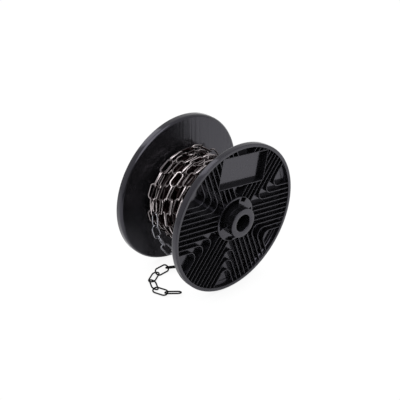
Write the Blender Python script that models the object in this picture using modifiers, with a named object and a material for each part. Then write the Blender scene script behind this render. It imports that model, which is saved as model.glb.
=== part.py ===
"""A plastic reel of steel chain, standing on its two rims, with the chain's free end on the floor.

Metres, +Z up. The reel's axis lies along X, the floor is z = 0, and x = 0, y = 0 is the reel's middle.
"""
import math

import bmesh
import bpy
from mathutils import Matrix, Vector

# Reel
REEL_RADIUS = 0.100
REEL_WIDTH = 0.110
ROUND_SEGMENTS = 60
SEAT_GAP = 0.0003

# Flange, one moulding: a dish that opens outwards, ribbed inside, with a collar round its bore
FLANGE_DEPTH = 0.0095
WEB_THICKNESS = 0.0021
RIM_LAND = 0.0045
RIM_STRAIGHT = 0.0059
EDGE_CHAMFER = 0.0005
EDGE_ARC_STEPS = 3
POCKET_ARC_STEPS = 3
INNER_WALL_STRAIGHT = 0.0030
COLLAR_RADIUS = 0.0298
COLLAR_WALL = 0.0023
COLLAR_RECESS_DEPTH = 0.006

# Ribs inside the dish: bundles of parallel walls, whose outer ones turn into the next bundle
BUNDLE_COUNT = 6
FIRST_BUNDLE_ANGLE = math.radians(-11.7)
RIB_PITCH = 0.0070
STRAIGHT_RIBS_EACH_SIDE = 2
BENT_RIBS_EACH_SIDE = 3
BEND_RADIUS = 0.0095
BEND_STEPS = 4
RIB_THICKNESS = 0.0013
RIB_TOP_DROP = 0.0005
RIB_SINK = 0.0007

# Bare rectangular recess for a label, square to the reel's radius
LABEL_BUNDLE_GAP = 1
LABEL_WIDTH = 0.0770
LABEL_INNER_EDGE = 0.0460
LABEL_OUTER_EDGE = 0.0860
LABEL_WALL = 0.0014

# Recesses and slots in the collar, in degrees from the label's own direction
COLLAR_RECESS_START = math.radians(-3.0)
COLLAR_RECESS_SWEEP = math.radians(124.0)
COLLAR_SLOT_START = math.radians(-28.0)
COLLAR_SLOT_SWEEP = math.radians(18.0)
COLLAR_SLOT_INNER = 0.0246
COLLAR_SLOT_DEPTH = 0.004

# Hub tube and drum
TUBE_RADIUS = 0.0195
BORE_RADIUS = 0.0115
TUBE_STANDOUT = 0.0135
DRUM_RADIUS = 0.0300

# Chain
WIRE_RADIUS = 0.0010
LINK_LENGTH = 0.0225
LINK_WIDTH = 0.0115
LINK_ARC_STEPS = 6

# Outer layer of the winding: depths are below its full radius, spreads from the middle of a turn
WINDING_RADIUS = 0.0590
TURNS_ACROSS = 10
LINKS_IN_TURN = 18.8
STEPS_PER_LINK = 5
FIRST_LINK_ANGLE = math.radians(176.7)
LAYER_DEPTH = 0.0090
VALLEY_DEPTH = 0.0082
HOLLOW_DEPTH = 0.0076
LOW_WIRE_DEPTH = 0.0062
JOINT_DEPTH = 0.0031
WIRE_SPREAD = 0.0033
HOLLOW_SPREAD = 0.0019
JOINT_SPREAD = 0.0026

# Free end of the chain, link by link from the winding: heading, rise and roll, in degrees
TAIL_LINKS = [
    (90.0, -90.0, 0.0),
    (88.0, -74.0, 90.0),
    (80.0, -65.0, 0.0),
    (66.0, -55.0, 90.0),
    (50.0, -34.0, 0.0),
    (215.0, -72.0, 52.0),
    (227.0, -7.0, -26.0),
    (270.0, 0.0, 40.0),
    (297.0, -3.0, -12.0),
    (331.0, 0.0, 28.0),
    (17.7, 1.0, -12.0),
    (45.8, 1.5, 28.0),
]
ANCHOR_LINK = 7
ANCHOR_PLACE = Vector((-0.0272, -0.0510, 0.0043))

# Worked out from the sizes above
AXIS_HEIGHT = REEL_RADIUS * math.cos(math.pi / ROUND_SEGMENTS)
HALF_WIDTH = REEL_WIDTH / 2
CLEAR_WIDTH = REEL_WIDTH - 2 * FLANGE_DEPTH
WEB_TOP = WEB_THICKNESS - FLANGE_DEPTH
EDGE_ROUND = FLANGE_DEPTH - RIM_STRAIGHT
INNER_ROUND = -WEB_TOP - INNER_WALL_STRAIGHT
HALF_BUNDLE = math.pi / BUNDLE_COUNT
LABEL_ANGLE = FIRST_BUNDLE_ANGLE + (2 * LABEL_BUNDLE_GAP + 1) * HALF_BUNDLE
LINK_END_RADIUS = LINK_WIDTH / 2 - WIRE_RADIUS
LINK_ARC_OFFSET = LINK_LENGTH / 2 - LINK_WIDTH / 2
WIRE_CLEARANCE = 2 * WIRE_RADIUS + SEAT_GAP + 0.00005
LAYER_STEPS = round(LINKS_IN_TURN * STEPS_PER_LINK)


def clear_scene():
    for old in list(bpy.data.objects):
        bpy.data.objects.remove(old, do_unlink=True)


def new_collection(name):
    collection = bpy.data.collections.new(name)
    bpy.context.scene.collection.children.link(collection)
    return collection


def new_object(name, data, collection):
    made = bpy.data.objects.new(name, data)
    collection.objects.link(made)
    return made


def new_material(name, color, roughness, metallic):
    material = bpy.data.materials.new(name)
    material.use_nodes = True
    shader = material.node_tree.nodes["Principled BSDF"]
    shader.inputs["Base Color"].default_value = (*color, 1.0)
    shader.inputs["Roughness"].default_value = roughness
    shader.inputs["Metallic"].default_value = metallic
    material.diffuse_color = (*color, 1.0)
    return material


def polar(radius, angle):
    return Vector((radius * math.cos(angle), radius * math.sin(angle)))


def arc_points(center, radius, start, sweep, steps):
    """Points along an arc in a plane, both ends included."""
    return [center + polar(radius, start + sweep * i / steps) for i in range(steps + 1)]


def turned(name, profile, collection, segments=ROUND_SEGMENTS):
    """A closed profile of (radius, height) points, screwed round the local Z axis."""
    mesh = bpy.data.meshes.new(name)
    builder = bmesh.new()
    ring = []
    for radius, height in profile:
        place = polar(radius, math.pi / segments)
        ring.append(builder.verts.new((place.x, place.y, height)))
    for i, vert in enumerate(ring):
        builder.edges.new((vert, ring[(i + 1) % len(ring)]))
    builder.to_mesh(mesh)
    builder.free()
    body = new_object(name, mesh, collection)
    screw = body.modifiers.new("turn", "SCREW")
    screw.angle = 2 * math.pi
    screw.steps = segments
    screw.render_steps = segments
    screw.use_smooth_shade = False
    return body


def walls(name, paths, closed, bottom, top, thickness, collection):
    """Upright walls of one thickness along plan paths, each path raised from its edges."""
    mesh = bpy.data.meshes.new(name)
    builder = bmesh.new()
    edges = []
    for path in paths:
        verts = [builder.verts.new((p.x, p.y, bottom)) for p in path]
        pairs = list(zip(verts, verts[1:]))
        if closed:
            pairs.append((verts[-1], verts[0]))
        edges.extend(builder.edges.new(pair) for pair in pairs)
    raised = bmesh.ops.extrude_edge_only(builder, edges=edges)["geom"]
    tops = [item for item in raised if isinstance(item, bmesh.types.BMVert)]
    bmesh.ops.translate(builder, verts=tops, vec=(0.0, 0.0, top - bottom))
    bmesh.ops.recalc_face_normals(builder, faces=builder.faces)
    builder.to_mesh(mesh)
    builder.free()
    body = new_object(name, mesh, collection)
    solidify = body.modifiers.new("thickness", "SOLIDIFY")
    solidify.thickness = thickness
    solidify.offset = 0.0
    solidify.use_even_offset = True
    return body


def block(name, size, place, turn, collection):
    mesh = bpy.data.meshes.new(name)
    builder = bmesh.new()
    bmesh.ops.create_cube(builder, size=1.0, matrix=Matrix.Diagonal((*size, 1.0)))
    builder.to_mesh(mesh)
    builder.free()
    body = new_object(name, mesh, collection)
    body.matrix_world = Matrix.Translation(place) @ Matrix.Rotation(turn, 4, "Z")
    return body


def as_guide(body):
    """A cutter, or a body that only lends its shape."""
    body.hide_render = True
    body.display_type = "WIRE"


def combine(body, other, operation):
    boolean = body.modifiers.new(operation.lower(), "BOOLEAN")
    boolean.object = other
    boolean.operation = operation
    boolean.solver = "EXACT"
    as_guide(other)


def baked_mesh(body, name):
    """The mesh that an object's modifiers make, in its own frame."""
    bpy.context.view_layer.update()
    evaluated = body.evaluated_get(bpy.context.evaluated_depsgraph_get())
    mesh = bpy.data.meshes.new_from_object(evaluated)
    mesh.name = name
    as_guide(body)
    return mesh


def flange_profile():
    """The dish and its collar, seen in section: outer side downwards, then back up inside."""
    edge_center = Vector((REEL_RADIUS - EDGE_ROUND, -RIM_STRAIGHT))
    wall_center = Vector((REEL_RADIUS - RIM_LAND - INNER_ROUND, -INNER_WALL_STRAIGHT))
    tube_bore = TUBE_RADIUS + SEAT_GAP
    outside = [Vector((REEL_RADIUS - EDGE_CHAMFER, 0.0))]
    outside += arc_points(edge_center, EDGE_ROUND, 0.0, -math.pi / 2, EDGE_ARC_STEPS)
    hub = [
        Vector((tube_bore, -FLANGE_DEPTH)),
        Vector((tube_bore, 0.0)),
        Vector((COLLAR_RADIUS, 0.0)),
        Vector((COLLAR_RADIUS, WEB_TOP)),
    ]
    inside = arc_points(wall_center, INNER_ROUND, -math.pi / 2, math.pi / 2, POCKET_ARC_STEPS)
    land = [Vector((REEL_RADIUS - RIM_LAND, 0.0))]
    return outside + hub + inside + land


def rib_space_profile():
    """The room inside the dish, grown a little into its walls, which trims the ribs."""
    grown = INNER_ROUND + RIB_SINK
    wall_center = Vector((REEL_RADIUS - RIM_LAND - INNER_ROUND, -INNER_WALL_STRAIGHT))
    inner = COLLAR_RADIUS - COLLAR_WALL / 2
    outer = wall_center.x + grown
    curve = arc_points(wall_center, grown, 0.0, -math.pi / 2, POCKET_ARC_STEPS)
    return [Vector((outer, RIB_SINK))] + curve + [
        Vector((inner, wall_center.y - grown)),
        Vector((inner, RIB_SINK)),
    ]


def straight_rib_paths():
    paths = []
    for bundle in range(BUNDLE_COUNT):
        along = FIRST_BUNDLE_ANGLE + 2 * HALF_BUNDLE * bundle
        for side in (-1, 1):
            for step in range(STRAIGHT_RIBS_EACH_SIDE):
                shift = polar(side * RIB_PITCH * (step + 0.5), along + math.pi / 2)
                paths.append([
                    shift + polar(COLLAR_RADIUS - 2 * COLLAR_WALL, along),
                    shift + polar(REEL_RADIUS, along),
                ])
    return paths


def bent_rib_paths():
    """Ribs that run from the rim inwards, round a bend, and out along the next bundle."""
    paths = []
    for gap in range(BUNDLE_COUNT):
        middle = FIRST_BUNDLE_ANGLE + (2 * gap + 1) * HALF_BUNDLE
        for step in range(BENT_RIBS_EACH_SIDE):
            offset = RIB_PITCH * (STRAIGHT_RIBS_EACH_SIDE + step + 0.5)
            corner = polar(offset / math.sin(HALF_BUNDLE), middle)
            center = corner + polar(BEND_RADIUS / math.sin(HALF_BUNDLE), middle)
            start = middle - HALF_BUNDLE - math.pi / 2
            sweep = 2 * HALF_BUNDLE - math.pi
            bend = arc_points(center, BEND_RADIUS, start, sweep, BEND_STEPS)
            first = corner + polar(REEL_RADIUS, middle - HALF_BUNDLE)
            last = corner + polar(REEL_RADIUS, middle + HALF_BUNDLE)
            paths.append([first] + bend + [last])
    return paths


def label_rectangle():
    across = polar(LABEL_WIDTH / 2 + LABEL_WALL / 2, LABEL_ANGLE - math.pi / 2)
    near = polar(LABEL_INNER_EDGE - LABEL_WALL / 2, LABEL_ANGLE)
    far = polar(LABEL_OUTER_EDGE + LABEL_WALL / 2, LABEL_ANGLE)
    return [near - across, near + across, far + across, far - across]


def label_block(collection):
    middle = polar((LABEL_INNER_EDGE + LABEL_OUTER_EDGE) / 2, LABEL_ANGLE)
    size = (LABEL_OUTER_EDGE - LABEL_INNER_EDGE, LABEL_WIDTH, 4 * FLANGE_DEPTH)
    return block("label_cutter", size, (middle.x, middle.y, 0.0), LABEL_ANGLE, collection)


def collar_sector(name, start, sweep, inner, outer, depth, collection):
    """A flat outline of part of a ring, as thick as the recess is deep."""
    start += LABEL_ANGLE
    steps = max(2, round(sweep / (2 * math.pi) * ROUND_SEGMENTS))
    origin = Vector((0.0, 0.0))
    outline = arc_points(origin, outer, start, sweep, steps)
    outline += arc_points(origin, inner, start + sweep, -sweep, steps)
    mesh = bpy.data.meshes.new(name)
    builder = bmesh.new()
    face = builder.faces.new([builder.verts.new((p.x, p.y, -depth)) for p in outline])
    raised = bmesh.ops.extrude_face_region(builder, geom=[face])["geom"]
    tops = [item for item in raised if isinstance(item, bmesh.types.BMVert)]
    bmesh.ops.translate(builder, verts=tops, vec=(0.0, 0.0, 2 * depth))
    bmesh.ops.recalc_face_normals(builder, faces=builder.faces)
    builder.to_mesh(mesh)
    builder.free()
    return new_object(name, mesh, collection)


def cut_collar(dish, collection):
    for side in range(2):
        half_turn = math.pi * side
        recess = collar_sector(
            f"recess_cutter_{side}", COLLAR_RECESS_START + half_turn, COLLAR_RECESS_SWEEP,
            TUBE_RADIUS - COLLAR_WALL, COLLAR_RADIUS - COLLAR_WALL, COLLAR_RECESS_DEPTH, collection)
        combine(dish, recess, "DIFFERENCE")
        slot = collar_sector(
            f"slot_cutter_{side}", COLLAR_SLOT_START + half_turn, COLLAR_SLOT_SWEEP,
            COLLAR_SLOT_INNER, COLLAR_RADIUS - COLLAR_WALL / 2, COLLAR_SLOT_DEPTH, collection)
        combine(dish, slot, "DIFFERENCE")


def flange_mesh(collection):
    """Dish, ribs, label recess and collar fused into the one moulding that both ends use."""
    bottom = -FLANGE_DEPTH
    top = -RIB_TOP_DROP
    rib_paths = straight_rib_paths() + bent_rib_paths()
    ribs = walls("rib_walls", rib_paths, False, bottom, top, RIB_THICKNESS, collection)
    combine(ribs, label_block(collection), "DIFFERENCE")
    frame = walls("label_walls", [label_rectangle()], True, bottom, top, LABEL_WALL, collection)
    combine(ribs, frame, "UNION")
    space = turned("rib_space", rib_space_profile(), collection)
    combine(ribs, space, "INTERSECT")
    dish = turned("dish", flange_profile(), collection)
    combine(dish, ribs, "UNION")
    cut_collar(dish, collection)
    return baked_mesh(dish, "flange")


def axis_frame(outward):
    """Rotation that points local Z along +X or -X, with local Y upwards."""
    columns = Matrix(((0.0, 0.0, outward), (outward, 0.0, 0.0), (0.0, 1.0, 0.0)))
    return columns.to_4x4()


def make_flanges(parts, cutters, material):
    mesh = flange_mesh(cutters)
    mesh.materials.clear()
    mesh.materials.append(material)
    for name, outward in (("flange_front", 1.0), ("flange_back", -1.0)):
        flange = new_object(name, mesh, parts)
        place = Matrix.Translation((outward * HALF_WIDTH, 0.0, AXIS_HEIGHT))
        flange.matrix_world = place @ axis_frame(outward)


def ring(name, inner, outer, length, material, collection):
    """A plain tube on the reel's axis."""
    half = length / 2
    profile = [
        Vector((outer, half)),
        Vector((outer, -half)),
        Vector((inner, -half)),
        Vector((inner, half)),
    ]
    body = turned(name, profile, collection)
    body.matrix_world = Matrix.Translation((0.0, 0.0, AXIS_HEIGHT)) @ axis_frame(1.0)
    body.data.materials.append(material)
    return body


def turn_section(step):
    """One turn of the winding in section, at a step along two links: (offset, depth) points.

    The links lean to the left and to the right by turns. Each has one side wire high up and the
    other low down, with a hollow between them. At a joint the wires of two links cross.
    """
    if step % STEPS_PER_LINK == 0:
        return [
            (-JOINT_SPREAD, JOINT_DEPTH),
            (-HOLLOW_SPREAD, JOINT_DEPTH),
            (HOLLOW_SPREAD, JOINT_DEPTH),
            (JOINT_SPREAD, JOINT_DEPTH),
        ]
    leans_left = step < STEPS_PER_LINK
    return [
        (-WIRE_SPREAD, 0.0 if leans_left else LOW_WIRE_DEPTH),
        (-HOLLOW_SPREAD, HOLLOW_DEPTH),
        (HOLLOW_SPREAD, HOLLOW_DEPTH),
        (WIRE_SPREAD, LOW_WIRE_DEPTH if leans_left else 0.0),
    ]


def turn_middle(index, length):
    return (index + 0.5) * length / TURNS_ACROSS - length / 2


def layer_profile(length):
    """Bore, then a valley and one section for each turn, from the far end to the near one."""
    half = length / 2
    inner = WINDING_RADIUS - LAYER_DEPTH
    valley = WINDING_RADIUS - VALLEY_DEPTH
    profile = [Vector((inner, -half)), Vector((inner, half)), Vector((valley, half))]
    for index in reversed(range(TURNS_ACROSS)):
        middle = turn_middle(index, length)
        for offset, depth in reversed(turn_section(1)):
            profile.append(Vector((WINDING_RADIUS - depth, middle + offset)))
        profile.append(Vector((valley, middle - half / TURNS_ACROSS)))
    return profile


def shape_links(mesh, length):
    """Give each turn, all the way round, the section that its links have there.

    Travel is counted in turns of chain from the free end, which leaves the second turn.
    """
    offsets = [round(offset, 6) for offset, depth in turn_section(1)]
    for vert in mesh.vertices:
        index = min(TURNS_ACROSS - 1, int((vert.co.z / length + 0.5) * TURNS_ACROSS))
        middle = turn_middle(index, length)
        offset = round(vert.co.z - middle, 6)
        if offset not in offsets:
            continue
        plan = vert.co.xy
        part = (FIRST_LINK_ANGLE - math.atan2(plan.y, plan.x)) / (2 * math.pi) % 1
        links = (index - 1 + part) * LINKS_IN_TURN + 0.5
        step = round(links * STEPS_PER_LINK) % (2 * STEPS_PER_LINK)
        offset, depth = turn_section(step)[offsets.index(offset)]
        plan = plan.normalized() * (WINDING_RADIUS - depth)
        vert.co = (plan.x, plan.y, middle + offset)


def make_winding(parts, cutters, material):
    length = CLEAR_WIDTH - 2 * SEAT_GAP
    layer_inner = WINDING_RADIUS - LAYER_DEPTH
    ring("chain_core", DRUM_RADIUS + SEAT_GAP, layer_inner - SEAT_GAP, length, material, parts)
    blank = turned("layer_blank", layer_profile(length), cutters, LAYER_STEPS)
    mesh = baked_mesh(blank, "chain_outer_layer")
    shape_links(mesh, length)
    mesh.materials.append(material)
    layer = new_object("chain_outer_layer", mesh, parts)
    layer.matrix_world = Matrix.Translation((0.0, 0.0, AXIS_HEIGHT)) @ axis_frame(1.0)


def link_curve(material):
    """One link: round wire on a closed path of two half circles."""
    curve = bpy.data.curves.new("link_wire", "CURVE")
    curve.dimensions = "3D"
    curve.bevel_depth = WIRE_RADIUS
    curve.bevel_resolution = 2
    right = Vector((LINK_ARC_OFFSET, 0.0))
    path = arc_points(right, LINK_END_RADIUS, -math.pi / 2, math.pi, LINK_ARC_STEPS)
    path += arc_points(-right, LINK_END_RADIUS, math.pi / 2, math.pi, LINK_ARC_STEPS)
    spline = curve.splines.new("POLY")
    spline.points.add(len(path) - 1)
    for point, place in zip(spline.points, path):
        point.co = (place.x, place.y, 0.0, 1.0)
    spline.use_cyclic_u = True
    curve.materials.append(material)
    return curve


def link_axes(heading, rise, roll):
    """Long axis and face normal of a link from its three angles in degrees."""
    azimuth = math.radians(heading)
    elevation = math.radians(rise)
    level = Vector((math.cos(azimuth), math.sin(azimuth), 0.0))
    side = Vector((-math.sin(azimuth), math.cos(azimuth), 0.0))
    along = level * math.cos(elevation) + Vector((0.0, 0.0, math.sin(elevation)))
    upright = along.cross(side)
    normal = upright * math.cos(math.radians(roll)) + side * math.sin(math.radians(roll))
    return along, normal


def hook_slack(link, following):
    """How much two hooked links draw together so that their wires keep the seat gap.

    Links square to each other need one wire's width. Links nearer to one plane need more.
    """
    turn = 2 * (1 - abs(link[1].dot(following[1])))
    if turn > 2 * WIRE_CLEARANCE / LINK_END_RADIUS:
        return WIRE_CLEARANCE
    return WIRE_CLEARANCE**2 / (LINK_END_RADIUS * turn) + LINK_END_RADIUS * turn / 4


def end_reach(link, line):
    """Distance from the centre of a link's round end to its faceted wire, in a direction."""
    half = math.pi / LINK_ARC_STEPS / 2
    bearing = math.acos(min(1.0, link[0].dot(line)))
    return LINK_END_RADIUS * math.cos(half) / math.cos(bearing % (2 * half) - half)


def hook_step(link, following):
    """Way from one hooked link's middle to the next, by the line where their planes cross."""
    line = link[1].cross(following[1]).normalized()
    if line.dot(link[0] + following[0]) < 0:
        line.negate()
    span = end_reach(link, line) + end_reach(following, line) - hook_slack(link, following)
    return link[0] * LINK_ARC_OFFSET + line * span + following[0] * LINK_ARC_OFFSET


def tail_places(axes):
    places = {ANCHOR_LINK: ANCHOR_PLACE}
    for i in range(ANCHOR_LINK + 1, len(axes)):
        places[i] = places[i - 1] + hook_step(axes[i - 1], axes[i])
    for i in range(ANCHOR_LINK - 1, -1, -1):
        places[i] = places[i + 1] - hook_step(axes[i], axes[i + 1])
    return places


def make_tail(parts, material):
    curve = link_curve(material)
    axes = [link_axes(*angles) for angles in TAIL_LINKS]
    places = tail_places(axes)
    for i, (along, normal) in enumerate(axes):
        link = new_object(f"tail_link_{i + 1:02d}", curve, parts)
        turn = Matrix((along, normal.cross(along), normal)).transposed()
        link.matrix_world = Matrix.Translation(places[i]) @ turn.to_4x4()


def main():
    clear_scene()
    parts = new_collection("reel_of_steel_chain")
    cutters = new_collection("cutters")
    plastic = new_material("black_plastic", (0.020, 0.020, 0.023), 0.38, 0.0)
    steel = new_material("blackened_steel", (0.110, 0.105, 0.105), 0.33, 0.9)
    make_flanges(parts, cutters, plastic)
    tube_length = REEL_WIDTH + 2 * TUBE_STANDOUT
    drum_length = CLEAR_WIDTH - 2 * SEAT_GAP
    ring("hub_tube", BORE_RADIUS, TUBE_RADIUS, tube_length, plastic, parts)
    ring("drum", TUBE_RADIUS + SEAT_GAP, DRUM_RADIUS, drum_length, plastic, parts)
    make_winding(parts, cutters, steel)
    make_tail(parts, steel)


main()
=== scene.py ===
# %% [markdown]
# # A reel of steel chain
#
# A black plastic reel stands on its two rims. It is wound with blackened steel chain, and the
# chain's free end lies on the floor beside it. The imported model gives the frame: the axis runs
# along X, the floor is z = 0, and every length here is in metres, in that same frame.

import math
import random

import bmesh
import bpy
from mathutils import Matrix, Vector
from mathutils.kdtree import KDTree


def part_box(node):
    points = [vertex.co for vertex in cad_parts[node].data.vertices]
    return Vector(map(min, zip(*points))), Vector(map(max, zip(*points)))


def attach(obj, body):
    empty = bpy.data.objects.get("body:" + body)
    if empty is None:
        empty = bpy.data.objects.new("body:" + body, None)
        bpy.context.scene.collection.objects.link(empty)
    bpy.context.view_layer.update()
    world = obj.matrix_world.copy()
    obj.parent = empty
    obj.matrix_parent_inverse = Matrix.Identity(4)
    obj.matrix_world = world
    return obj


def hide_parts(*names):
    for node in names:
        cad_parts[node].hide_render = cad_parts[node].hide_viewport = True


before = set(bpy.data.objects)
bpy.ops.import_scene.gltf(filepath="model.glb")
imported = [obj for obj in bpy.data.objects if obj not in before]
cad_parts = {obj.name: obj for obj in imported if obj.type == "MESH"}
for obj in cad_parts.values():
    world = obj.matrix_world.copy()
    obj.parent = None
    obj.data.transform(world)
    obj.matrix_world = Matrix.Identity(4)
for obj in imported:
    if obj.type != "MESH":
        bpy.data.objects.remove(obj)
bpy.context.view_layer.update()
print("nodes in the packed model:", len(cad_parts))

# %% [markdown]
# ## Sizes
#
# These are the sizes of the real reel and of its chain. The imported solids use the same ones, with
# coarser facets, so each finished piece takes the place of its solid. Only the ribs are slightly
# thinner here, and the collar's recesses and slots a few degrees longer or shorter.

# %% Sizes of the reel
REEL_RADIUS = 0.100
REEL_FACETS = 60
AXIS_HEIGHT = REEL_RADIUS * math.cos(math.pi / REEL_FACETS)
HALF_WIDTH = 0.055
FLANGE_DEPTH = 0.0095
INNER_FACE = HALF_WIDTH - FLANGE_DEPTH
WEB_DEPTH = 0.0074
RIM_LAND = 0.0045
RIM_STRAIGHT = 0.0059
EDGE_ROUND = FLANGE_DEPTH - RIM_STRAIGHT
INNER_WALL = 0.0030
INNER_ROUND = WEB_DEPTH - INNER_WALL
COLLAR_RADIUS = 0.0298
COLLAR_WALL = 0.0023
TUBE_RADIUS = 0.0195
TUBE_FIT = 0.0003
BORE_RADIUS = 0.0115
TUBE_STANDS_OUT = 0.0135
TUBE_END = HALF_WIDTH + TUBE_STANDS_OUT
QUARTER_TURN = math.pi / 2
print(f"reel: {2 * REEL_RADIUS:.3f} m across the rims and {2 * TUBE_END:.3f} m over the tube")

# %% Sizes of the chain
WIRE_RADIUS = 0.0010
LINK_LENGTH = 0.0225
LINK_WIDTH = 0.0115
LINK_END_RADIUS = LINK_WIDTH / 2 - WIRE_RADIUS
LINK_ARC_OFFSET = LINK_LENGTH / 2 - LINK_WIDTH / 2
TAUT_PITCH = LINK_LENGTH - 4 * WIRE_RADIUS
print(f"chain: {TAUT_PITCH:.4f} m for each link when it is taut")

# %% [markdown]
# ## The camera
#
# The camera stands off one end of the reel and looks down on it. Its place and its lens came from
# matching the two rims, which are circles of a known size, to the outlines they make in a view.

# %% Camera
CAMERA_PLACE = Vector((0.94848, -0.89962, 0.92933))
CAMERA_BACK = Vector((0.61550, -0.57872, 0.53502))
CAMERA_LENS = 109.96
SENSOR_WIDTH = 36.0
HALF_PIXEL = 0.5 / 400

camera_data = bpy.data.cameras.new("view_camera")
camera_data.lens = CAMERA_LENS
camera_data.sensor_width = SENSOR_WIDTH
camera_data.shift_x = -HALF_PIXEL
camera_data.shift_y = HALF_PIXEL
camera = bpy.data.objects.new("view_camera", camera_data)
camera.location = CAMERA_PLACE
camera.rotation_mode = "QUATERNION"
camera.rotation_quaternion = (-CAMERA_BACK).to_track_quat("-Z", "Y")
bpy.context.scene.collection.objects.link(camera)
bpy.context.scene.camera = camera
print("camera:", round(CAMERA_PLACE.length, 2), "m from the frame's origin")

# %% [markdown]
# ## Helpers for meshes
#
# Each helper ends in a plain mesh whose object stays at the origin. `turned` makes anything that
# comes off a lathe or out of a round mould: a profile of radius and height, swept round an axis.
# `stand` then points that axis along the reel's, outwards from either end.

# %% Mesh helpers
SHARP_ANGLE = 35.0


def add_object(name, mesh):
    made = bpy.data.objects.new(name, mesh)
    bpy.context.scene.collection.objects.link(made)
    return made


def polar(radius, angle):
    return Vector((radius * math.cos(angle), radius * math.sin(angle)))


def arc(center, radius, start, end, steps):
    """Points along an arc in a plane, from one angle to another, both ends included."""
    sweep = end - start
    return [Vector(center) + polar(radius, start + sweep * i / steps) for i in range(steps + 1)]


def turned(name, profile, segments):
    """A closed profile of (radius, height) points swept round local Z."""
    mesh = bpy.data.meshes.new(name)
    builder = bmesh.new()
    rings = []
    for i in range(segments):
        angle = 2 * math.pi * (i + 0.5) / segments
        spoke = [polar(point[0], angle).to_3d() + Vector((0, 0, point[1])) for point in profile]
        rings.append([builder.verts.new(place) for place in spoke])
    for i, ring in enumerate(rings):
        following = rings[(i + 1) % segments]
        for j in range(len(profile)):
            k = (j + 1) % len(profile)
            builder.faces.new((ring[j], ring[k], following[k], following[j]))
    bmesh.ops.recalc_face_normals(builder, faces=builder.faces)
    builder.to_mesh(mesh)
    builder.free()
    return mesh


def stand(outward):
    """Local Z along +X or -X from the reel's middle plane, local Y upwards, on the reel's axis."""
    turn = Matrix(((0, 0, outward), (outward, 0, 0), (0, 1, 0))).to_4x4()
    return Matrix.Translation((0, 0, AXIS_HEIGHT)) @ turn


def smooth(mesh, angle=SHARP_ANGLE):
    mesh.shade_smooth()
    mesh.set_sharp_from_angle(angle=math.radians(angle))


def evaluated_mesh(body, name):
    """The plain mesh that an object's modifiers make. The object itself is then thrown away."""
    bpy.context.view_layer.update()
    evaluated = body.evaluated_get(bpy.context.evaluated_depsgraph_get())
    mesh = bpy.data.meshes.new_from_object(evaluated)
    mesh.name = name
    bpy.data.objects.remove(body)
    return mesh


def place_piece(piece, slot, *nodes):
    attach(piece, "root")
    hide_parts(*nodes)
    print(f"{piece.name}: {len(piece.data.polygons)} faces")


# %% Node helpers
def math_node(tree, operation, first, second=None):
    """A Math node whose operands are sockets or plain numbers. Returns its output."""
    made = tree.nodes.new("ShaderNodeMath")
    made.operation = operation
    for socket, value in zip(made.inputs, (first, second)):
        if isinstance(value, bpy.types.NodeSocket):
            tree.links.new(value, socket)
        elif value is not None:
            socket.default_value = value
    return made.outputs[0]


def smooth_range(tree, value, low, high, to_low, to_high):
    made = tree.nodes.new("ShaderNodeMapRange")
    made.interpolation_type = "SMOOTHSTEP"
    settings = {"From Min": low, "From Max": high, "To Min": to_low, "To Max": to_high}
    for name, setting in settings.items():
        made.inputs[name].default_value = setting
    tree.links.new(value, made.inputs["Value"])
    return made.outputs["Result"]


# %% [markdown]
# ## Finishes
#
# The plastic and the steels need the same two things: a slow, cloudy variation, so that no surface
# is one flat value, and a fine grain that catches the light. A shader node group makes them once.
# It reads Object coordinates, so the pattern stays put on the piece. It gives out only a mask and
# a height, which each material then uses in its own way.

# %% Shader node group: cloud and grain
NOISE_DETAILS = {"Cloud": 3.0, "Grain": 2.0}
NOISE_ROUGHNESS = 0.55


def group_socket(group, name, direction, kind, default=None):
    made = group.interface.new_socket(name=name, in_out=direction, socket_type=kind)
    if default is not None:
        made.default_value = default


def make_surface_group():
    group = bpy.data.node_groups.new("cloud_and_grain", "ShaderNodeTree")
    group_socket(group, "Cloud Scale", "INPUT", "NodeSocketFloat", 30.0)
    group_socket(group, "Grain Scale", "INPUT", "NodeSocketFloat", 900.0)
    group_socket(group, "Cloud", "OUTPUT", "NodeSocketFloat")
    group_socket(group, "Grain", "OUTPUT", "NodeSocketFloat")
    nodes = group.nodes
    links = group.links
    given = nodes.new("NodeGroupInput")
    result = nodes.new("NodeGroupOutput")
    place = nodes.new("ShaderNodeTexCoord")
    for title, detail in NOISE_DETAILS.items():
        noise = nodes.new("ShaderNodeTexNoise")
        noise.inputs["Detail"].default_value = detail
        noise.inputs["Roughness"].default_value = NOISE_ROUGHNESS
        links.new(place.outputs["Object"], noise.inputs["Vector"])
        links.new(given.outputs[f"{title} Scale"], noise.inputs["Scale"])
        links.new(noise.outputs["Fac"], result.inputs[title])
    return group


SURFACE_GROUP = make_surface_group()
print("nodes in the group:", len(SURFACE_GROUP.nodes))


def ramp(nodes, stops):
    made = nodes.new("ShaderNodeValToRGB")
    elements = made.color_ramp.elements
    elements[0].position, elements[0].color = stops[0][0], (*stops[0][1], 1.0)
    elements[1].position, elements[1].color = stops[-1][0], (*stops[-1][1], 1.0)
    for position, color in stops[1:-1]:
        elements.new(position).color = (*color, 1.0)
    return made


def grey(value):
    return (value, value, value)


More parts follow.
